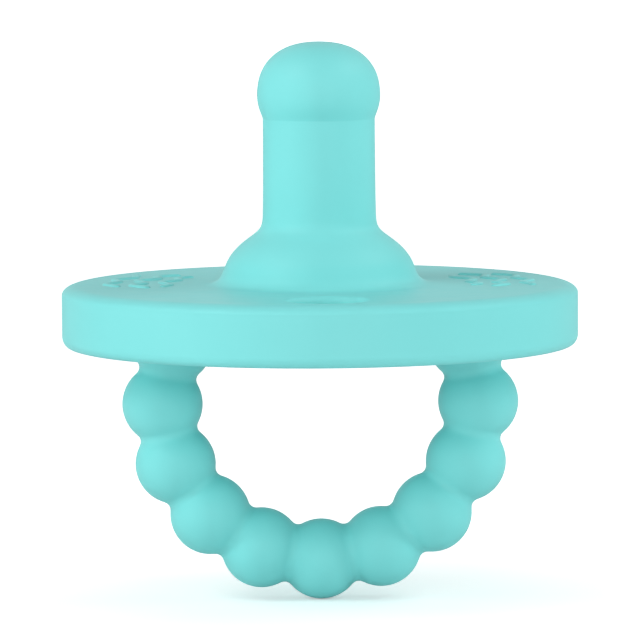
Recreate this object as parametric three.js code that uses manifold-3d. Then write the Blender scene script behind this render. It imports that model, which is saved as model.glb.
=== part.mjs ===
// One-piece silicone pacifier: round shield with two vent holes, hollow teat on a
// bell-shaped base, and a beaded semicircular handle under the shield.
// Millimetres, +Z along the teat (towards the mouth), +X to the right of the two
// handle roots, -Y towards the front. Origin: centre of the footprint, at the
// lowest point of the lowest bead.
//
// The object is moulded in one shot of silicone. It is divided here into the
// regions that bend against each other: a region ends in a shallow ridge at each
// flexing section, so that its neighbour can tilt about that section.

import * as THREE from "three";
import { mergeVertices } from "three/addons/utils/BufferGeometryUtils.js";
import Module from "manifold-3d";

// ---------------------------------------------------------------- dimensions

// heights below are measured from the middle plane of the shield
const MID_Z = 27.76; // middle plane of the shield above the lowest bead point

const SHIELD_R = 25; // outer radius
const SHIELD_T = 5.9; // thickness
const TOP_FILLET_R = 1.58; // how far the top edge rounds inwards
const TOP_FILLET_H = 0.9; // how far it rounds downwards
const LOW_FILLET_R = 0.78;
const LOW_FILLET_H = 1.05;
const SHIELD_SEGMENTS = 48;

const VENT_Y = 18; // vent holes, front and back of the teat
const VENT_R = 3.5;
const VENT_EDGE = 0.7; // rounding of a vent hole's edge

const MOUTH_R = 5.2; // where the teat's hollow opens at the back of the shield
const GAP = 0.3; // clearance between neighbouring regions
const FOOT_H = 0.35; // height of the teat's foot that belongs to the shield

// outer profile of the teat: [radius, height above the shield's middle plane]
const TEAT_OUTER = [
  [11.0, 2.95],
  [10.3, 3.18],
  [9.66, 3.52],
  [9.34, 4.1],
  [9.12, 4.8],
  [8.9, 5.3],
  [8.24, 6.22],
  [7.84, 6.7],
  [7.18, 7.23],
  [6.5, 7.72],
  [6.02, 8.2],
  [5.7, 8.7],
  [5.53, 9.3],
  [5.46, 11],
  [5.43, 15],
  [5.42, 19.05],
  [5.7, 19.72],
  [5.9, 20.5],
  [5.97, 21.3],
  [5.92, 22.1],
  [5.7, 23.15],
  [5.22, 24.15],
  [4.53, 25.02],
  [3.6, 25.72],
  [2.4, 26.17],
  [1.2, 26.36],
  [0, 26.42],
];

// hollow of the teat, open at the back of the shield
const TEAT_INNER = [
  [4.9, 2.9],
  [4.6, 5],
  [3.95, 7.6],
  [3.8, 9.2],
  [3.8, 19],
  [4.05, 19.9],
  [4.2, 21.2],
  [4.1, 22.3],
  [3.75, 23.1],
  [3.0, 23.9],
  [1.8, 24.4],
  [0, 24.6],
];
const TEAT_SEGMENTS = 24;

// sections where the teat bends: height and half of the bend, degrees
const TEAT_BENDS = [9.3, 12.55, 15.8, 19.05];
const TEAT_RELIEF = 8.2;

// handle: bead centres on an arc whose ends run up into the shield
const ARC_Z = -8.38;
const ARC_RX = 15.33;
const ARC_RZ = 15.48;
const BEAD_R = 3.9;
const FIRST_ANGLE = 0.8; // degrees below the arc's centre, first bead
const STEP_ANGLE = 22.3; // from bead to bead
const WAIST_R = 2.9; // narrowest section between two beads
const WAIST_FILLET = 1.16;
const HANDLE_RELIEF = 10.8; // ridge angle at a flexing waist, degrees
const BEAD_SEGMENTS = 12;

const SILICONE = 0x7fe3dd;

// ------------------------------------------------------------------- helpers

const wasm = await Module();
wasm.setup();

function solid(geometry) {
  const g = geometry.clone();
  g.deleteAttribute("normal");
  g.deleteAttribute("uv");
  const merged = mergeVertices(g, 1e-4);
  const vertProperties = new Float32Array(merged.attributes.position.array);
  const triVerts = new Uint32Array(merged.index.array);
  const make = () =>
    new wasm.Manifold(new wasm.Mesh({ numProp: 3, vertProperties, triVerts }));
  const made = make();
  if (made.volume() >= 0) return made;
  for (let i = 0; i < triVerts.length; i += 3)
    [triVerts[i + 1], triVerts[i + 2]] = [triVerts[i + 2], triVerts[i + 1]];
  return make();
}

function meshOf(name, manifold, material) {
  const m = manifold.getMesh();
  const position = new Float32Array(m.numVert * 3);
  for (let i = 0; i < m.numVert; i++)
    for (let k = 0; k < 3; k++)
      position[3 * i + k] = m.vertProperties[i * m.numProp + k];
  const g = new THREE.BufferGeometry();
  g.setAttribute("position", new THREE.BufferAttribute(position, 3));
  g.setIndex(new THREE.BufferAttribute(new Uint32Array(m.triVerts), 1));
  g.computeVertexNormals();
  const mesh = new THREE.Mesh(g, material);
  mesh.name = name;
  return mesh;
}

// solid of revolution about +Z from [radius, height] points that start and end on the axis
function turned(points, segments) {
  const g = new THREE.LatheGeometry(
    points.map(([r, z]) => new THREE.Vector2(r, z)),
    segments,
  );
  g.rotateX(Math.PI / 2);
  return solid(g);
}

// prism from an outline in the (a, b) plane, centred along a x b, placed at origin
function prism(outline, depth, origin, a, b) {
  const shape = new THREE.Shape(outline.map(([u, v]) => new THREE.Vector2(u, v)));
  const g = new THREE.ExtrudeGeometry(shape, {
    depth,
    bevelEnabled: false,
    steps: 1,
  });
  g.translate(0, 0, -depth / 2);
  const c = new THREE.Vector3().crossVectors(a, b);
  g.applyMatrix4(
    new THREE.Matrix4().makeBasis(a, b, c).setPosition(origin),
  );
  return solid(g);
}

const X = new THREE.Vector3(1, 0, 0);
const Y = new THREE.Vector3(0, 1, 0);
const Z = new THREE.Vector3(0, 0, 1);
const rad = THREE.MathUtils.degToRad;

// what to take off beyond a flexing section: everything on the +normal side of a
// ridge that lies on the section and falls away to both sides of it along `side`
function beyondRidge(origin, normal, side, relief) {
  const t = Math.tan(rad(relief)),
    w = 16,
    h = GAP / 2;
  return prism(
    [
      [0, -h],
      [w, -h - w * t],
      [w, 40],
      [-w, 40],
      [-w, -h - w * t],
    ],
    60,
    origin,
    side,
    normal,
  );
}

// ------------------------------------------------------------------ material

const silicone = new THREE.MeshStandardMaterial({
  color: SILICONE,
  roughness: 0.55,
  metalness: 0,
});

const pacifier = new THREE.Group();
pacifier.position.z = MID_Z;

// -------------------------------------------------------------------- shield

const half = SHIELD_T / 2;
const arc = (n, f) => Array.from({ length: n + 1 }, (_, i) => f((i / n) * (Math.PI / 2)));
const shieldProfile = [
  [0, -half],
  ...arc(3, (a) => [
    SHIELD_R - LOW_FILLET_R + LOW_FILLET_R * Math.sin(a),
    -half + LOW_FILLET_H * (1 - Math.cos(a)),
  ]),
  ...arc(4, (a) => [
    SHIELD_R - TOP_FILLET_R + TOP_FILLET_R * Math.cos(a),
    half - TOP_FILLET_H * (1 - Math.sin(a)),
  ]),
  [0, half],
];
let shield = turned(shieldProfile, SHIELD_SEGMENTS);

// lowest part of the teat's foot, so that the flat face round it ends where it begins
const footTop = half + FOOT_H;
const [footIn, footOut] = [TEAT_OUTER[2], TEAT_OUTER[1]];
const footT = (footTop - footOut[1]) / (footIn[1] - footOut[1]);
shield = shield.add(
  turned(
    [
      [0, half - 1],
      [TEAT_OUTER[0][0], half - 1],
      TEAT_OUTER[0],
      footOut,
      [footOut[0] + footT * (footIn[0] - footOut[0]), footTop],
      [0, footTop],
    ],
    TEAT_SEGMENTS,
  ),
);

// mouth of the teat's hollow, with a broken edge at the back
shield = shield.subtract(
  turned(
    [
      [0, -half - 1],
      [MOUTH_R + 1, -half - 1],
      [MOUTH_R + 0.8, -half],
      [MOUTH_R + 0.2, -half + 0.35],
      [MOUTH_R, -half + 0.9],
      [4.9, half + 1],
      [0, half + 1],
    ],
    TEAT_SEGMENTS,
  ),
);

// vent holes, rounded at both faces
const ventCut = turned(
  [
    [0, -half - 1],
    [VENT_R + VENT_EDGE, -half - 1],
    [VENT_R + VENT_EDGE, -half],
    [VENT_R + VENT_EDGE * 0.3, -half + VENT_EDGE * 0.3],
    [VENT_R, -half + VENT_EDGE],
    [VENT_R, half - VENT_EDGE],
    [VENT_R + VENT_EDGE * 0.3, half - VENT_EDGE * 0.3],
    [VENT_R + VENT_EDGE, half],
    [VENT_R + VENT_EDGE, half + 1],
    [0, half + 1],
  ],
  16,
);
shield = shield
  .subtract(ventCut.translate([0, -VENT_Y, 0]))
  .subtract(ventCut.translate([0, VENT_Y, 0]));
pacifier.add(meshOf("shield", shield, silicone));

// ---------------------------------------------------------------------- teat

const teatOuter = turned(
  [[0, TEAT_OUTER[0][1]], ...TEAT_OUTER],
  TEAT_SEGMENTS,
);
const teatInner = turned(
  [[0, 0], [TEAT_INNER[0][0], 0], ...TEAT_INNER],
  TEAT_SEGMENTS,
);
const teat = teatOuter.subtract(teatInner);

const at = (z) => new THREE.Vector3(0, 0, z);
// the first and third sections tilt about X, the second and fourth about Y
const sideOf = (i) => (i % 2 === 0 ? Y : X);
const above = TEAT_BENDS.map((z, i) =>
  beyondRidge(at(z), Z, sideOf(i), TEAT_RELIEF),
);
const below = TEAT_BENDS.map((z, i) =>
  beyondRidge(at(z), Z.clone().negate(), sideOf(i), TEAT_RELIEF),
);
const clearOfShield = prism(
  [
    [-40, -10],
    [40, -10],
    [40, footTop + GAP],
    [-40, footTop + GAP],
  ],
  80,
  at(0),
  X,
  Z,
);
const REGIONS = [
  "teat_base",
  "teat_neck_lower",
  "teat_neck_middle",
  "teat_neck_upper",
  "teat_bulb",
];
REGIONS.forEach((name, i) => {
  let part = teat;
  if (i === 0) part = part.subtract(clearOfShield);
  else part = part.subtract(below[i - 1]);
  if (i < above.length) part = part.subtract(above[i]);
  pacifier.add(meshOf(name, part, silicone));
});

// -------------------------------------------------------------------- handle

// bead 0 and bead 10 are the roots, half sunk in the shield; 1 to 9 hang below it
const centre = (k) => {
  const a = rad(FIRST_ANGLE + STEP_ANGLE * (Math.min(k, 10 - k) - 1));
  return new THREE.Vector3(
    (k < 5 ? -1 : k > 5 ? 1 : 0) * ARC_RX * Math.cos(a),
    0,
    ARC_Z - ARC_RZ * Math.sin(a),
  );
};

// from a bead's centre to the waist it shares with a neighbour
function neckStub(from, to) {
  const axis = to.clone().sub(from);
  const h = axis.length() / 2;
  const n = axis.clone().normalize();
  const tangent = (h * BEAD_R) / (BEAD_R + WAIST_FILLET);
  const r = (t) =>
    WAIST_R + WAIST_FILLET - Math.sqrt(WAIST_FILLET ** 2 - (h - t) ** 2);
  const g = new THREE.LatheGeometry(
    [
      [0, 0.8],
      [2.9, 0.8],
      [r(tangent) - 0.03, tangent],
      [r(tangent + 0.3), tangent + 0.3],
      [WAIST_R, h],
      [WAIST_R, h + 0.4],
      [0, h + 0.4],
    ].map(([a, b]) => new THREE.Vector2(a, b)),
    BEAD_SEGMENTS,
  );
  const e = new THREE.Vector3().crossVectors(n, Y);
  g.applyMatrix4(new THREE.Matrix4().makeBasis(e, n, Y));
  g.translate(from.x, from.y, from.z);
  return solid(g);
}

// the waists that flex: root to first bead, first to second, second to third
const flexes = (k) => [0, 1, 2, 7, 8, 9].includes(k); // between bead k and k + 1

for (let k = 0; k <= 10; k++) {
  const c = centre(k);
  const ball = new THREE.SphereGeometry(BEAD_R, BEAD_SEGMENTS, 8);
  ball.rotateX(Math.PI / 2);
  ball.translate(c.x, c.y, c.z);
  let bead = solid(ball);
  for (const other of [k - 1, k + 1]) {
    if (other < 0 || other > 10) continue;
    const o = centre(other);
    bead = bead.add(neckStub(c, o));
    const middle = c.clone().add(o).multiplyScalar(0.5);
    const n = o.clone().sub(c).normalize();
    bead = bead.subtract(
      beyondRidge(middle, n, Y, flexes(Math.min(k, other)) ? HANDLE_RELIEF : 0),
    );
  }
  if (k === 0 || k === 10)
    bead = bead.subtract(
      prism(
        [
          [-60, -half - GAP],
          [60, -half - GAP],
          [60, 40],
          [-60, 40],
        ],
        60,
        at(0),
        X,
        Z,
      ),
    );
  const name =
    k === 0 ? "handle_root_left" : k === 10 ? "handle_root_right" : "handle_bead_" + k;
  pacifier.add(meshOf(name, bead, silicone));
}

export default pacifier;
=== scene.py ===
"""One-piece silicone pacifier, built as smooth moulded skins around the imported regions.

All lengths below are millimetres from the middle plane of the shield, unless they end in _m.
"""

import math

import bpy
import numpy as np
from mathutils import Matrix, Vector
from mathutils.geometry import delaunay_2d_cdt


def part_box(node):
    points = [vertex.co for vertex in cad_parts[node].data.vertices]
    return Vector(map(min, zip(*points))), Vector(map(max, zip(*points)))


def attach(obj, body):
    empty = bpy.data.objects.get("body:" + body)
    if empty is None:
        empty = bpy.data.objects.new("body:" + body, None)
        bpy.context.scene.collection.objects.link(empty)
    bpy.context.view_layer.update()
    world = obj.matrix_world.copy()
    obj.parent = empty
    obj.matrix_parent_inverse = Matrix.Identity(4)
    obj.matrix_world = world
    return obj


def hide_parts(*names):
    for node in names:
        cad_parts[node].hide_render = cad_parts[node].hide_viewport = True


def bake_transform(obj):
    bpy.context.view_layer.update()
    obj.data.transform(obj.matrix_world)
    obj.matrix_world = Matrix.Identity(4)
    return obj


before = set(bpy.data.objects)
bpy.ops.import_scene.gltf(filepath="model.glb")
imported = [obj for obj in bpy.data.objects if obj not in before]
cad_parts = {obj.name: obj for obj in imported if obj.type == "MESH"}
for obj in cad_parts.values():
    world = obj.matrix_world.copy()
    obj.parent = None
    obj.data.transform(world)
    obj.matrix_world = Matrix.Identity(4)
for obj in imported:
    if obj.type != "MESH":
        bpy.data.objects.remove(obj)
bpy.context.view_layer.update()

MM = 0.001
shield_lo, shield_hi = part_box("shield")
R = shield_hi.x / MM
HALF = 2.95  # half the shield's thickness
MID_M = shield_lo.z + HALF * MM

# ------------------------------------------------------------------ dimensions

TOP_FILLET = (1.58, 0.90)  # radial, vertical
LOW_FILLET = (0.78, 1.05)
VENT_Y, VENT_R, VENT_EDGE = 18.0, 3.55, 0.7
MOUTH_R, MOUTH_EDGE = 5.2, 0.9
FOOT_R = 11.7  # where the teat's foot runs out on the shield

ARC_Z, ARC_RX, ARC_RZ = -8.38, 15.33, 15.48
BEAD_R = 3.9
FIRST_ANGLE, STEP_ANGLE = 0.8, 22.3
WAIST_FILLET = 0.75
ROOT_FILLET = 0.8

TEAT_BENDS = (9.3, 12.55, 15.8, 19.05)
TEAT_SEAMS = (10.925, 14.175, 17.425)

AROUND_TEAT = 112
AROUND_RIM = 256
AROUND_VENT = 64
AROUND_BEAD = 80
RINGS_PER_BEAD = 24

# ------------------------------------------------------------------ mesh tools


class Skin:
    """Patches with their own exact normals, joined into one mesh whose coincident vertices are shared."""

    def __init__(self):
        self.v, self.n, self.f, self.count = [], [], [], 0

    def patch(self, v, n, faces):
        v, n = np.asarray(v, float), np.asarray(n, float)
        faces = [tuple(f) for f in faces]
        # turn the patch so that its faces agree with its normals
        score = 0.0
        for f in faces[:: max(1, len(faces) // 400)]:
            a, b, c = v[f[0]], v[f[1]], v[f[2]]
            score += float(np.dot(np.cross(b - a, c - a), n[list(f)].mean(0)))
        if score < 0:
            faces = [f[::-1] for f in faces]
        self.v.append(v)
        self.n.append(n)
        self.f += [tuple(i + self.count for i in f) for f in faces]
        self.count += len(v)

    def grid(self, v, n):
        """Rows of rings, each ring closed on itself: arrays of shape (rows, around, 3)."""
        rows, around = v.shape[:2]
        faces = []
        for i in range(rows - 1):
            for j in range(around):
                k = (j + 1) % around
                faces.append(
                    (i * around + j, i * around + k, (i + 1) * around + k, (i + 1) * around + j)
                )
        self.patch(v.reshape(-1, 3), n.reshape(-1, 3), faces)

    def mesh(self, name):
        v, n = np.concatenate(self.v), np.concatenate(self.n)
        n /= np.linalg.norm(n, axis=1)[:, None]
        key = np.round((v + 0.000137) * 1000).astype(np.int64)
        _, first, same = np.unique(key, axis=0, return_index=True, return_inverse=True)
        same = same.reshape(-1)
        faces, corner = [], []
        for f in self.f:
            g, h = [], []
            for i in f:
                s = int(same[i])
                if s in g:
                    continue
                g.append(s)
                h.append(i)
            if len(g) >= 3:
                faces.append(g)
                corner += h
        used = sorted({i for f in faces for i in f})
        renumber = {s: i for i, s in enumerate(used)}
        me = bpy.data.meshes.new(name)
        points = v[first[used]] * MM
        points[:, 2] += MID_M
        me.from_pydata(points.tolist(), [], [[renumber[i] for i in f] for f in faces])
        me.polygons.foreach_set("use_smooth", [True] * len(me.polygons))
        me.update()
        me.normals_split_custom_set(n[corner].tolist())
        me.update()
        ob = bpy.data.objects.new(name, me)
        bpy.context.scene.collection.objects.link(ob)
        return ob


def bspline(points, sub):
    """Uniform cubic B-spline: positions and unit tangents, sub steps to a span."""
    p = np.asarray(points, float)
    pos, tan = [], []
    spans = len(p) - 3
    for i in range(spans):
        last = i == spans - 1
        for s in range(sub + (1 if last else 0)):
            t = s / sub
            b = np.array(
                [(1 - t) ** 3, 3 * t**3 - 6 * t**2 + 4, -3 * t**3 + 3 * t**2 + 3 * t + 1, t**3]
            ) / 6
            d = np.array(
                [-3 * (1 - t) ** 2, 9 * t**2 - 12 * t, -9 * t**2 + 6 * t + 3, 3 * t**2]
            ) / 6
            pos.append(b @ p[i : i + 4])
            tan.append(d @ p[i : i + 4])
    tan = np.array(tan)
    tan /= np.linalg.norm(tan, axis=1)[:, None]
    return np.array(pos), tan


def revolve(profile, normal, around, cx=0.0, cy=0.0):
    """Rings about a vertical axis from (r, z) points and (nr, nz) normals."""
    a = np.arange(around) * 2 * math.pi / around
    c, s = np.cos(a), np.sin(a)
    r, z = profile[:, 0][:, None], profile[:, 1][:, None]
    v = np.stack([cx + r * c, cy + r * s, z + 0 * c], -1)
    nr, nz = normal[:, 0][:, None], normal[:, 1][:, None]
    n = np.stack([nr * c, nr * s, nz + 0 * c], -1)
    return v, n


def quarter(n, cr, cz, ar, az, a0, a1):
    """Part of an ellipse in the (r, z) plane about (cr, cz), with its outward normals."""
    a = np.radians(np.linspace(a0, a1, n))
    p = np.stack([cr + ar * np.cos(a), cz + az * np.sin(a)], -1)
    m = np.stack([np.cos(a) / ar, np.sin(a) / az], -1)
    return p, m / np.linalg.norm(m, axis=1)[:, None]


def circle(radius, around, cx=0.0, cy=0.0):
    a = np.arange(around) * 2 * math.pi / around
    return np.stack([cx + radius * np.cos(a), cy + radius * np.sin(a)], -1)


def flat(skin, z, up, outer, holes):
    """Flat face between one ring and the rings of its holes. A ring is (radius, around, cx, cy)."""
    pts, edges = [], []
    for ring in [outer] + holes:
        c = circle(*ring)
        start = len(pts)
        pts += [Vector((x, y)) for x, y in c]
        edges += [(start + i, start + (i + 1) % len(c)) for i in range(len(c))]
    # a light lattice of inner points keeps the triangles well shaped
    rmax = outer[0]
    for ring_r in np.arange(2.0, rmax - 0.8, 1.3):
        m = max(12, int(2 * math.pi * ring_r / 1.3))
        for x, y in circle(ring_r, m, outer[2], outer[3]) if len(outer) > 2 else circle(ring_r, m):
            if all(
                math.hypot(x - (h[2] if len(h) > 2 else 0), y - (h[3] if len(h) > 2 else 0)) > h[0] + 0.5
                for h in holes
            ):
                pts.append(Vector((x, y)))
    out = delaunay_2d_cdt(pts, edges, [], 0, 1e-7)
    v2, tris, orig = out[0], out[2], out[3]
    # keep the rings' own exact coordinates
    v = np.array([[p[0], p[1], z] for p in v2])
    for i, o in enumerate(orig):
        if o:
            v[i, 0], v[i, 1] = pts[o[0]][0], pts[o[0]][1]
    exact = []
    for ring in [outer] + holes:
        exact.append(circle(*ring))
    exact = np.concatenate(exact)
    for i, o in enumerate(orig):
        if o and o[0] < len(exact):
            v[i, :2] = exact[o[0]]
    keep = []
    for t in tris:
        c = v[list(t)].mean(0)
        cx, cy = (outer[2], outer[3]) if len(outer) > 2 else (0, 0)
        if math.hypot(c[0] - cx, c[1] - cy) > outer[0]:
            continue
        if any(
            math.hypot(c[0] - (h[2] if len(h) > 2 else 0), c[1] - (h[3] if len(h) > 2 else 0)) < h[0] * math.cos(math.pi / h[1])
            for h in holes
        ):
            continue
        keep.append(tuple(t))
    skin.patch(v, np.tile([0, 0, 1.0 if up else -1.0], (len(v), 1)), keep)


# ---------------------------------------------------------------------- shield

skin = Skin()
# rim: top rounding, side wall, bottom rounding
p1, n1 = quarter(15, R - TOP_FILLET[0], HALF - TOP_FILLET[1], TOP_FILLET[0], TOP_FILLET[1], 90, 0)
wall_z = np.linspace(HALF - TOP_FILLET[1], -HALF + LOW_FILLET[1], 9)[1:-1]
p2 = np.stack([np.full_like(wall_z, R), wall_z], -1)
n2 = np.tile([1.0, 0.0], (len(p2), 1))
p3, n3 = quarter(13, R - LOW_FILLET[0], -HALF + LOW_FILLET[1], LOW_FILLET[0], LOW_FILLET[1], 0, -90)
skin.grid(*revolve(np.concatenate([p1, p2, p3]), np.concatenate([n1, n2, n3]), AROUND_RIM))

# vent holes, rounded at both faces
vp1, vn1 = quarter(10, VENT_R + VENT_EDGE, HALF - VENT_EDGE, VENT_EDGE, VENT_EDGE, 90, 180)
vz = np.linspace(HALF - VENT_EDGE, -HALF + VENT_EDGE, 6)[1:-1]
vp2 = np.stack([np.full_like(vz, VENT_R), vz], -1)
vn2 = np.tile([-1.0, 0.0], (len(vp2), 1))
vp3, vn3 = quarter(10, VENT_R + VENT_EDGE, -HALF + VENT_EDGE, VENT_EDGE, VENT_EDGE, 180, 270)
for sign in (-1, 1):
    skin.grid(
        *revolve(
            np.concatenate([vp1, vp2, vp3]),
            np.concatenate([vn1, vn2, vn3]),
            AROUND_VENT,
            0.0,
            sign * VENT_Y,
        )
    )

# mouth of the teat's hollow at the back
mp1 = np.stack([np.linspace(MOUTH_R - 0.23, MOUTH_R, 6), np.linspace(2.35, -HALF + MOUTH_EDGE, 6)], -1)[:-1]
mn1 = np.tile([-1.0, -0.04], (len(mp1), 1))
mp2, mn2 = quarter(10, MOUTH_R + MOUTH_EDGE, -HALF + MOUTH_EDGE, MOUTH_EDGE, MOUTH_EDGE, 180, 270)
skin.grid(*revolve(np.concatenate([mp1, mp2]), np.concatenate([mn1, mn2]), AROUND_TEAT))

VENTS = [(VENT_R + VENT_EDGE, AROUND_VENT, 0.0, -VENT_Y), (VENT_R + VENT_EDGE, AROUND_VENT, 0.0, VENT_Y)]
flat(skin, HALF, True, (R - TOP_FILLET[0], AROUND_RIM), [(FOOT_R, AROUND_TEAT)] + VENTS)
flat(skin, -HALF, False, (R - LOW_FILLET[0], AROUND_RIM), [(MOUTH_R + MOUTH_EDGE, AROUND_TEAT)] + VENTS)

# ------------------------------------------------------------------------ teat

OUTER = [
    (12.35, 2.95), (11.7, 2.95), (11.05, 2.95), (10.25, 3.08), (9.7, 3.5), (9.38, 4.1), (9.15, 4.75),
    (8.88, 5.4), (8.45, 6.02), (7.86, 6.66), (7.15, 7.25), (6.44, 7.74), (5.88, 8.2), (5.6, 8.68),
    (5.5, 9.25), (5.48, 10.0), (5.465, 10.925), (5.45, 12.0), (5.44, 13.1), (5.435, 14.175),
    (5.43, 15.3), (5.425, 16.4), (5.42, 17.425), (5.42, 18.1), (5.42, 18.6), (5.42, 18.86),
    (5.42, 18.95), (5.421, 19.0), (5.432, 19.04), (5.46, 19.12), (5.53, 19.32), (5.63, 19.58), (5.75, 19.9), (5.86, 20.3),
    (5.94, 20.75), (5.97, 21.25), (5.955, 21.75), (5.9, 22.25), (5.81, 22.75), (5.68, 23.22),
    (5.48, 23.7), (5.22, 24.16), (4.9, 24.6), (4.53, 24.98), (4.1, 25.34), (3.6, 25.66),
    (3.0, 25.95), (2.3, 26.18), (1.55, 26.33), (0.78, 26.41), (0.0, 26.435), (-0.78, 26.41),
]
INNER = [
    (5.03, 1.75), (4.97, 2.35), (4.92, 2.95), (4.86, 3.55), (4.75, 4.5), (4.47, 5.6), (4.17, 6.8), (3.94, 8.0),
    (3.84, 9.2), (3.8, 10.4), (3.8, 11.8), (3.8, 13.2), (3.8, 14.6), (3.8, 16.0), (3.8, 17.2),
    (3.8, 18.2), (3.84, 18.9), (3.95, 19.6), (4.1, 20.35), (4.2, 21.15), (4.17, 21.95),
    (4.0, 22.65), (3.7, 23.22), (3.25, 23.7), (2.6, 24.1), (1.8, 24.38), (0.9, 24.55),
    (0.0, 24.6), (-0.9, 24.55),
]


def cut_at(pos, tan, heights):
    """Adds a ring exactly at each height, so that neighbouring skins share it."""
    for h in heights:
        i = int(np.argmax(pos[:, 1] > h))
        if abs(pos[i, 1] - h) < 1e-9 or abs(pos[i - 1, 1] - h) < 1e-9:
            continue
        t = (h - pos[i - 1, 1]) / (pos[i, 1] - pos[i - 1, 1])
        q, d = pos[i - 1] * (1 - t) + pos[i] * t, tan[i - 1] * (1 - t) + tan[i] * t
        q[1] = h
        pos = np.insert(pos, i, q, axis=0)
        tan = np.insert(tan, i, d / np.linalg.norm(d), axis=0)
    return pos, tan


outer_p, outer_t = cut_at(*bspline(OUTER, 3), TEAT_SEAMS)
inner_p, inner_t = cut_at(*bspline(INNER, 3), TEAT_SEAMS)
outer_n = np.stack([outer_t[:, 1], -outer_t[:, 0]], -1)
inner_n = np.stack([-inner_t[:, 1], inner_t[:, 0]], -1)
outer_p[-1, 0] = inner_p[-1, 0] = 0.0
outer_p[0] = (FOOT_R, HALF)
outer_t[0] = (-1.0, 0.0)
inner_p[0] = (MOUTH_R - 0.23, 2.35)


def annulus(skin, z, r0, r1, up):
    prof = np.array([[r0, z], [r1, z]])
    nor = np.tile([0.0, 1.0 if up else -1.0], (2, 1))
    skin.grid(*revolve(prof, nor, AROUND_TEAT))


def band(p, n, low, high):
    keep = (p[:, 1] >= low - 1e-9) & (p[:, 1] <= high + 1e-9)
    return p[keep], n[keep]


def at_height(p, z):
    return p[int(np.argmin(abs(p[:, 1] - z))), 0]


CUTS = [-99.0, *TEAT_SEAMS, 99.0]
NAMES = ["shield_and_teat_foot", "teat_neck_low", "teat_neck_mid", "teat_tip"]
teat_skins = []
for i in range(4):
    s = Skin() if i else skin
    po, no = band(outer_p, outer_n, CUTS[i], CUTS[i + 1])
    pi, ni = band(inner_p, inner_n, CUTS[i], CUTS[i + 1])
    s.grid(*revolve(po, no, AROUND_TEAT))
    s.grid(*revolve(pi, ni, AROUND_TEAT))
    if i:
        annulus(s, po[0, 1], pi[0, 0], po[0, 0], False)
    if i < 3:
        annulus(s, po[-1, 1], pi[-1, 0], po[-1, 0], True)
    teat_skins.append(s.mesh(NAMES[i]))

# ---------------------------------------------------------------------- handle


def bead_centre(k):
    a = math.radians(FIRST_ANGLE + STEP_ANGLE * (k - 1))
    return np.array([-ARC_RX * math.cos(a), 0.0, ARC_Z - ARC_RZ * math.sin(a)])


CENTRES = np.array([bead_centre(k) for k in range(0, 11)])


def round_union(a, b, r):
    return np.maximum(r, np.minimum(a, b)) - np.hypot(np.maximum(r - a, 0), np.maximum(r - b, 0))


def handle_field(p):
    """Distance-like field of the chain of beads with filleted waists, joined to the shield's back."""
    f = None
    for c in CENTRES:
        d = np.linalg.norm(p - c, axis=-1) - BEAD_R
        f = d if f is None else round_union(f, d, WAIST_FILLET)
    return round_union(f, -HALF - p[..., 2], ROOT_FILLET)


def cast(origin, direction):
    lo = np.full(direction.shape[:-1], 1.2)
    hi = np.full(direction.shape[:-1], 5.6)
    for _ in range(40):
        mid = (lo + hi) / 2
        inside = handle_field(origin + direction * mid[..., None]) < 0
        lo, hi = np.where(inside, mid, lo), np.where(inside, hi, mid)
    return origin + direction * ((lo + hi) / 2)[..., None]


def field_normal(p):
    e = 1e-3
    g = np.stack(
        [
            handle_field(p + np.array(d) * e) - handle_field(p - np.array(d) * e)
            for d in ((1, 0, 0), (0, 1, 0), (0, 0, 1))
        ],
        -1,
    )
    return g / np.linalg.norm(g, axis=-1)[..., None]


PHI = np.arange(AROUND_BEAD) * 2 * math.pi / AROUND_BEAD


def ring_at(angle):
    a = math.radians(angle)
    o = np.array([-ARC_RX * math.cos(a), 0.0, ARC_Z - ARC_RZ * math.sin(a)])
    e = np.array([-math.cos(a), 0.0, -math.sin(a)])
    d = np.cos(PHI)[:, None] * e + np.sin(PHI)[:, None] * np.array([0.0, 1.0, 0.0])
    return cast(o, d)


def arc_rings(k0, k1):
    a0, a1 = (FIRST_ANGLE + STEP_ANGLE * (k - 1) for k in (k0, k1))
    count = RINGS_PER_BEAD * (k1 - k0)
    return np.array([ring_at(a0 + (a1 - a0) * i / count) for i in range(count + 1)])


def cap(skin, ring, normal):
    """Flat end of a region of the handle."""
    c = ring.mean(0)
    v = np.concatenate([ring, [c]])
    n = np.tile(normal, (len(v), 1))
    m = len(ring)
    skin.patch(v, n, [(i, (i + 1) % m, m) for i in range(m)])


def mirror(v, n):
    s = np.array([-1.0, 1.0, 1.0])
    return v * s, n * s


def region(name, rings, first_normal, last_normal, foot=False, flip=False):
    v = rings
    n = field_normal(v)
    if foot:
        n[0] = [0, 0, -1]
    a, b = np.array(first_normal, float), np.array(last_normal, float)
    if flip:
        v, n = mirror(v, n)
        a, b = a * [-1, 1, 1], b * [-1, 1, 1]
    s = Skin()
    s.grid(v, n)
    cap(s, v[0], a)
    cap(s, v[-1], b)
    return s.mesh(name)


def tangent(angle):
    a = math.radians(angle)
    return np.array([math.sin(a), 0.0, -math.cos(a)])


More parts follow.
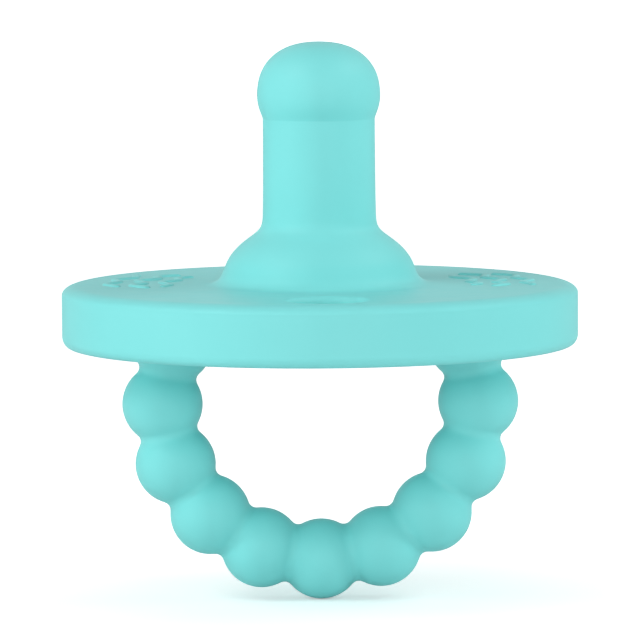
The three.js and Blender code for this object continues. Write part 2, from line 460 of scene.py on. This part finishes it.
# the root: from its foot on the shield's back to the equator of the first bead
c0, c1 = CENTRES[0], CENTRES[1]
foot_z = -HALF
fillet_z = -HALF - ROOT_FILLET
foot_r = math.sqrt((BEAD_R + ROOT_FILLET) ** 2 - (fillet_z - c0[2]) ** 2)
rings = [
    np.stack(
        [c0[0] - foot_r * np.cos(PHI), foot_r * np.sin(PHI), np.full_like(PHI, foot_z)], -1
    )
]
heights = [foot_z - ROOT_FILLET * (1 - math.cos(t)) for t in np.radians(np.linspace(0, 90, 12)[1:])]
heights += list(np.linspace(heights[-1], c1[2] + 0.28, 24)[1:])
for z in heights:
    t = (z - c0[2]) / (c1[2] - c0[2])
    o = np.array([c0[0] + t * (c1[0] - c0[0]), 0.0, z])
    d = np.stack([-np.cos(PHI), np.sin(PHI), np.zeros_like(PHI)], -1)
    rings.append(cast(o, d))
rings.append(ring_at(FIRST_ANGLE))
root_rings = np.array(rings)
chain_12, chain_23, chain_37 = arc_rings(1, 2), arc_rings(2, 3), arc_rings(3, 7)

angle = lambda k: FIRST_ANGLE + STEP_ANGLE * (k - 1)
handle_skins = {}
for side, flip in (("left", False), ("right", True)):
    handle_skins["root", side] = region(
        "handle_root_" + side + "_skin", root_rings, (0, 0, 1), tangent(angle(1)), True, flip
    )
    handle_skins["mid", side] = region(
        "handle_upper_" + side, chain_12, -tangent(angle(1)), tangent(angle(2)), False, flip
    )
    handle_skins["low", side] = region(
        "handle_middle_" + side, chain_23, -tangent(angle(2)), tangent(angle(3)), False, flip
    )
handle_skins["loop"] = region(
    "handle_lower_loop", chain_37, -tangent(angle(3)), tangent(angle(7))
)

# ------------------------------------------------------- raised wavy ornament


def stroke(skin, radius, mid, span, wave, phase, width, height):
    """A rounded ridge along an arc about the teat, waving in and out, sunk a little into the face."""
    rows = 90
    length = radius * math.radians(span)
    u = np.linspace(0, 1, rows)
    s = (u - 0.5) * length
    # closer rings at the rounded ends
    s = length / 2 * np.sin(np.linspace(-math.pi / 2, math.pi / 2, rows))
    r = radius + wave * np.sin(2 * math.pi * s / 5.2 + phase)
    a = math.radians(mid) + s / radius
    path = np.stack([r * np.cos(a), r * np.sin(a), np.full(rows, HALF - 0.08)], -1)
    tan = np.gradient(path, axis=0)
    tan /= np.linalg.norm(tan, axis=1)[:, None]
    side = np.stack([-tan[:, 1], tan[:, 0], np.zeros(rows)], -1)
    end = (length / 2 - abs(s)) / (width / 2)
    t = np.sqrt(np.clip(1 - (1 - np.clip(end, 0, 1)) ** 2, 0, 1))
    th = np.arange(20) * 2 * math.pi / 20
    w, h = t * width / 2, t * (height + 0.08)
    v = (
        path[:, None, :]
        + side[:, None, :] * (w[:, None] * np.cos(th))[..., None]
        + np.array([0, 0, 1.0]) * (h[:, None] * np.sin(th))[..., None]
    )
    n = (
        side[:, None, :] * (np.cos(th) / (width / 2))[None, :, None]
        + np.array([0, 0, 1.0]) * (np.sin(th) / (height + 0.08))[None, :, None]
    )
    lean = (1 - t)[:, None, None] * np.sign(s)[:, None, None] * tan[:, None, :]
    n = n * np.maximum(t, 1e-3)[:, None, None] + lean * 2.0
    skin.grid(v, n)


ornament = Skin()
for mid_angle in (9.0, 166.0):
    stroke(ornament, 15.0, mid_angle, 44, 0.50, 0.4, 0.85, 0.20)
    stroke(ornament, 17.6, mid_angle, 50, 0.55, 1.9, 0.95, 0.22)
    stroke(ornament, 20.2, mid_angle, 38, 0.50, 3.1, 0.85, 0.20)
motif = ornament.mesh("raised_waves")

# -------------------------------------------------------------------- material


def node(tree, kind, x, y, **values):
    n = tree.nodes.new(kind)
    n.location = (x, y)
    for k, v in values.items():
        n.inputs[k].default_value = v
    return n


SSS = 0.0


def silicone_material():
    m = bpy.data.materials.new("silicone_mint")
    m.use_nodes = True
    t = m.node_tree
    t.nodes.clear()
    out = t.nodes.new("ShaderNodeOutputMaterial")
    out.location = (900, 0)
    b = t.nodes.new("ShaderNodeBsdfPrincipled")
    b.location = (600, 0)
    t.links.new(b.outputs[0], out.inputs[0])
    b.inputs["Metallic"].default_value = 0.0
    b.inputs["IOR"].default_value = 1.41
    b.inputs["Specular IOR Level"].default_value = 0.2
    b.inputs["Subsurface Weight"].default_value = SSS
    b.inputs["Subsurface Radius"].default_value = (0.6, 1.0, 0.95)
    b.inputs["Subsurface Scale"].default_value = 0.0012
    b.inputs["Sheen Weight"].default_value = 0.0

    co = t.nodes.new("ShaderNodeTexCoord")
    co.location = (-900, 0)
    # cloudy, barely visible variation of the pigment
    cloud = node(t, "ShaderNodeTexNoise", -650, 250, Scale=55.0, Detail=3.0, Roughness=0.55)
    t.links.new(co.outputs["Object"], cloud.inputs["Vector"])
    ramp = t.nodes.new("ShaderNodeValToRGB")
    ramp.location = (-350, 250)
    ramp.color_ramp.elements[0].position = 0.3
    ramp.color_ramp.elements[0].color = (0.206, 0.702, 0.695, 1)
    ramp.color_ramp.elements[1].position = 0.7
    ramp.color_ramp.elements[1].color = (0.222, 0.725, 0.718, 1)
    t.links.new(cloud.outputs["Fac"], ramp.inputs["Fac"])
    t.links.new(ramp.outputs["Color"], b.inputs["Base Color"])
    # satin mould finish: fine grain in the surface and in its gloss
    grain = node(t, "ShaderNodeTexNoise", -650, -50, Scale=5200.0, Detail=2.0, Roughness=0.6)
    t.links.new(co.outputs["Object"], grain.inputs["Vector"])
    soft = node(t, "ShaderNodeTexNoise", -650, -300, Scale=420.0, Detail=4.0, Roughness=0.5)
    t.links.new(co.outputs["Object"], soft.inputs["Vector"])
    mixr = t.nodes.new("ShaderNodeMapRange")
    mixr.location = (-350, -50)
    mixr.inputs["To Min"].default_value = 0.37
    mixr.inputs["To Max"].default_value = 0.47
    t.links.new(soft.outputs["Fac"], mixr.inputs["Value"])
    t.links.new(mixr.outputs["Result"], b.inputs["Roughness"])
    bump1 = node(t, "ShaderNodeBump", 100, -250, Strength=0.10, Distance=0.00003)
    t.links.new(grain.outputs["Fac"], bump1.inputs["Height"])
    bump2 = node(t, "ShaderNodeBump", 350, -250, Strength=0.10, Distance=0.00006)
    t.links.new(soft.outputs["Fac"], bump2.inputs["Height"])
    t.links.new(bump1.outputs["Normal"], bump2.inputs["Normal"])
    t.links.new(bump2.outputs["Normal"], b.inputs["Normal"])
    return m


silicone = silicone_material()
pieces = [*teat_skins, *handle_skins.values(), motif]
for o in pieces:
    o.data.materials.append(silicone)

# ---------------------------------------------------------------------- bodies


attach(motif, "shield")
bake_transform(teat_skins[0])
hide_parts("shield", "teat_base", "teat_neck_lower")
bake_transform(teat_skins[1])
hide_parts("teat_neck_middle")
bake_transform(teat_skins[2])
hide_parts("teat_neck_upper")
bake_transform(teat_skins[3])
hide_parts("teat_bulb")

for side, sx in (("left", 1.0), ("right", -1.0)):
    o = handle_skins["root", side]
    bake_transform(o)
    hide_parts("handle_root_" + side)
    for key, i, a, b in (("mid", 1, "handle_top", "handle_mid"), ("low", 2, "handle_mid", "handle_low")):
        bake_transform(handle_skins[key, side])
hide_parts("handle_bead_1")
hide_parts("handle_bead_2")
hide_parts("handle_bead_9")
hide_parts("handle_bead_8")
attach(handle_skins["loop"], "handle_low")
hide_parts(*["handle_bead_%d" % k for k in range(3, 8)])

# ----------------------------------------------------------------------- stage

floor_mesh = bpy.data.meshes.new("floor")
F = 6.0
floor_mesh.from_pydata([(-F, -F, 0), (F, -F, 0), (F, F, 0), (-F, F, 0)], [], [(0, 1, 2, 3)])
floor = bpy.data.objects.new("floor", floor_mesh)
bpy.context.scene.collection.objects.link(floor)
fm = bpy.data.materials.new("pale_floor")
fm.use_nodes = True
ft = fm.node_tree
fb = ft.nodes["Principled BSDF"]
fb.inputs["Roughness"].default_value = 0.9
fb.inputs["Specular IOR Level"].default_value = 0.1
fb.inputs["Emission Color"].default_value = (1, 1, 1, 1)
# the white table looks bright, but throws little light back up at the object
f_ray = ft.nodes.new("ShaderNodeLightPath")
f_pale = ft.nodes.new("ShaderNodeMapRange")
f_pale.inputs["To Min"].default_value = 0.85
f_pale.inputs["To Max"].default_value = 0.9
ft.links.new(f_ray.outputs["Is Camera Ray"], f_pale.inputs["Value"])
ft.links.new(f_pale.outputs["Result"], fb.inputs["Base Color"])
f_co = ft.nodes.new("ShaderNodeTexCoord")
f_len = ft.nodes.new("ShaderNodeVectorMath")
f_len.operation = "LENGTH"
ft.links.new(f_co.outputs["Object"], f_len.inputs[0])
# camera-only glow, dimmer within about 12 to 45 mm of the point under the object: a painted contact shadow
# around its foot
f_glow_painted_shadow = ft.nodes.new("ShaderNodeMapRange")
f_glow_painted_shadow.interpolation_type = "SMOOTHSTEP"
f_glow_painted_shadow.inputs["From Min"].default_value = 0.012
f_glow_painted_shadow.inputs["From Max"].default_value = 0.045
f_glow_painted_shadow.inputs["To Min"].default_value = 0.34
f_glow_painted_shadow.inputs["To Max"].default_value = 0.55
ft.links.new(f_len.outputs["Value"], f_glow_painted_shadow.inputs["Value"])
f_far = ft.nodes.new("ShaderNodeMapRange")
f_far.interpolation_type = "SMOOTHSTEP"
f_far.inputs["From Min"].default_value = 0.3
f_far.inputs["From Max"].default_value = 1.3
f_far.inputs["To Min"].default_value = 0.0
f_far.inputs["To Max"].default_value = 0.5
ft.links.new(f_len.outputs["Value"], f_far.inputs["Value"])
f_sum = ft.nodes.new("ShaderNodeMath")
f_sum.operation = "ADD"
ft.links.new(f_glow_painted_shadow.outputs["Result"], f_sum.inputs[0])
ft.links.new(f_far.outputs["Result"], f_sum.inputs[1])
f_seen = ft.nodes.new("ShaderNodeMath")
f_seen.operation = "MULTIPLY"
ft.links.new(f_sum.outputs[0], f_seen.inputs[0])
ft.links.new(f_ray.outputs["Is Camera Ray"], f_seen.inputs[1])
ft.links.new(f_seen.outputs[0], fb.inputs["Emission Strength"])
floor_mesh.materials.append(fm)
floor.location = (0, 0, -0.00002)

# white room, brighter in front of the object than behind it
WORLD_FRONT, WORLD_BACK = 0.60, 0.80
world_data = bpy.data.worlds.new("studio")
bpy.context.scene.world = world_data
world_data.use_nodes = True
wt = world_data.node_tree
bg = wt.nodes["Background"]
bg.inputs["Color"].default_value = (1, 1, 1, 1)
w_co = wt.nodes.new("ShaderNodeTexCoord")
w_sep = wt.nodes.new("ShaderNodeSeparateXYZ")
wt.links.new(w_co.outputs["Generated"], w_sep.inputs[0])
w_front = wt.nodes.new("ShaderNodeMapRange")
w_front.inputs["From Min"].default_value = 0.0
w_front.inputs["From Max"].default_value = -1.0
w_front.inputs["To Min"].default_value = 0.0
w_front.inputs["To Max"].default_value = WORLD_FRONT
wt.links.new(w_sep.outputs["Y"], w_front.inputs["Value"])
w_back = wt.nodes.new("ShaderNodeMapRange")
w_back.inputs["From Min"].default_value = 0.0
w_back.inputs["From Max"].default_value = 1.0
w_back.inputs["To Min"].default_value = 0.0
w_back.inputs["To Max"].default_value = WORLD_BACK
wt.links.new(w_sep.outputs["Y"], w_back.inputs["Value"])
w_sum = wt.nodes.new("ShaderNodeMath")
w_sum.operation = "ADD"
wt.links.new(w_front.outputs["Result"], w_sum.inputs[0])
wt.links.new(w_back.outputs["Result"], w_sum.inputs[1])
# the room itself looks white from everywhere
w_ray = wt.nodes.new("ShaderNodeLightPath")
w_seen = wt.nodes.new("ShaderNodeMapRange")
w_seen.inputs["To Max"].default_value = 1.0
wt.links.new(w_ray.outputs["Is Camera Ray"], w_seen.inputs["Value"])
wt.links.new(w_sum.outputs[0], w_seen.inputs["To Min"])
wt.links.new(w_seen.outputs["Result"], bg.inputs["Strength"])


def softbox(azimuth, elevation, energy, size=0.32, distance=0.8):
    """A soft area light. Azimuth 0 is straight in front (-Y), positive to the right (+X).

    The small low ones at the sides leave no glare on the flat face of the shield.
    """
    data = bpy.data.lights.new("softbox", "AREA")
    data.shape = "RECTANGLE"
    data.size = data.size_y = size
    data.energy = energy
    o = bpy.data.objects.new("softbox", data)
    a, e = math.radians(azimuth), math.radians(elevation)
    aim = Vector((0, 0, 0.0278))
    o.location = aim + distance * Vector(
        (math.sin(a) * math.cos(e), -math.cos(a) * math.cos(e), math.sin(e))
    )
    o.rotation_euler = (aim - o.location).to_track_quat("-Z", "Y").to_euler()
    o.visible_glossy = size > 0.2
    bpy.context.scene.collection.objects.link(o)
    return o


SOFTBOXES = [
    (-60, 45, 1.74), (-90, 6, 1.22, 0.14), (-68, 12, 0.82), (-16, 12, 1.03), (16, 12, 0.71),
    (68, 12, 0.28), (90, 6, 1.72, 0.14), (60, 45, 0.69), (100, 45, 1.08), (-100, 45, 0.32),
]
for spec in SOFTBOXES:
    softbox(*spec)

# ---------------------------------------------------------------------- camera

CAM_BACK, CAM_UP, CAM_TILT, CAM_F = 0.600, 53.42, 5.143, 6214.3
cam_data = bpy.data.cameras.new("camera")
cam_data.sensor_width = 36.0
cam_data.lens = CAM_F * 36.0 / 640.0
cam_data.clip_start, cam_data.clip_end = 0.01, 20.0
cam = bpy.data.objects.new("camera", cam_data)
CAM_AROUND = -2.2  # degrees about the teat's axis
tilt, roll = math.radians(CAM_TILT), -0.0062
cam.matrix_world = (
    Matrix.Rotation(math.radians(CAM_AROUND), 4, "Z")
    @ Matrix.Translation((0.0, -CAM_BACK, MID_M + CAM_UP * MM))
    @ Matrix.Rotation(math.radians(90) - tilt, 4, "X")
    @ Matrix.Rotation(roll, 4, "Z")
)
bpy.context.scene.collection.objects.link(cam)
bpy.context.scene.camera = cam

bpy.context.scene.view_settings.view_transform = "Standard"
bpy.context.scene.view_settings.look = "None"
bpy.context.scene.view_settings.exposure = 0.0
bpy.context.scene.view_settings.gamma = 1.0
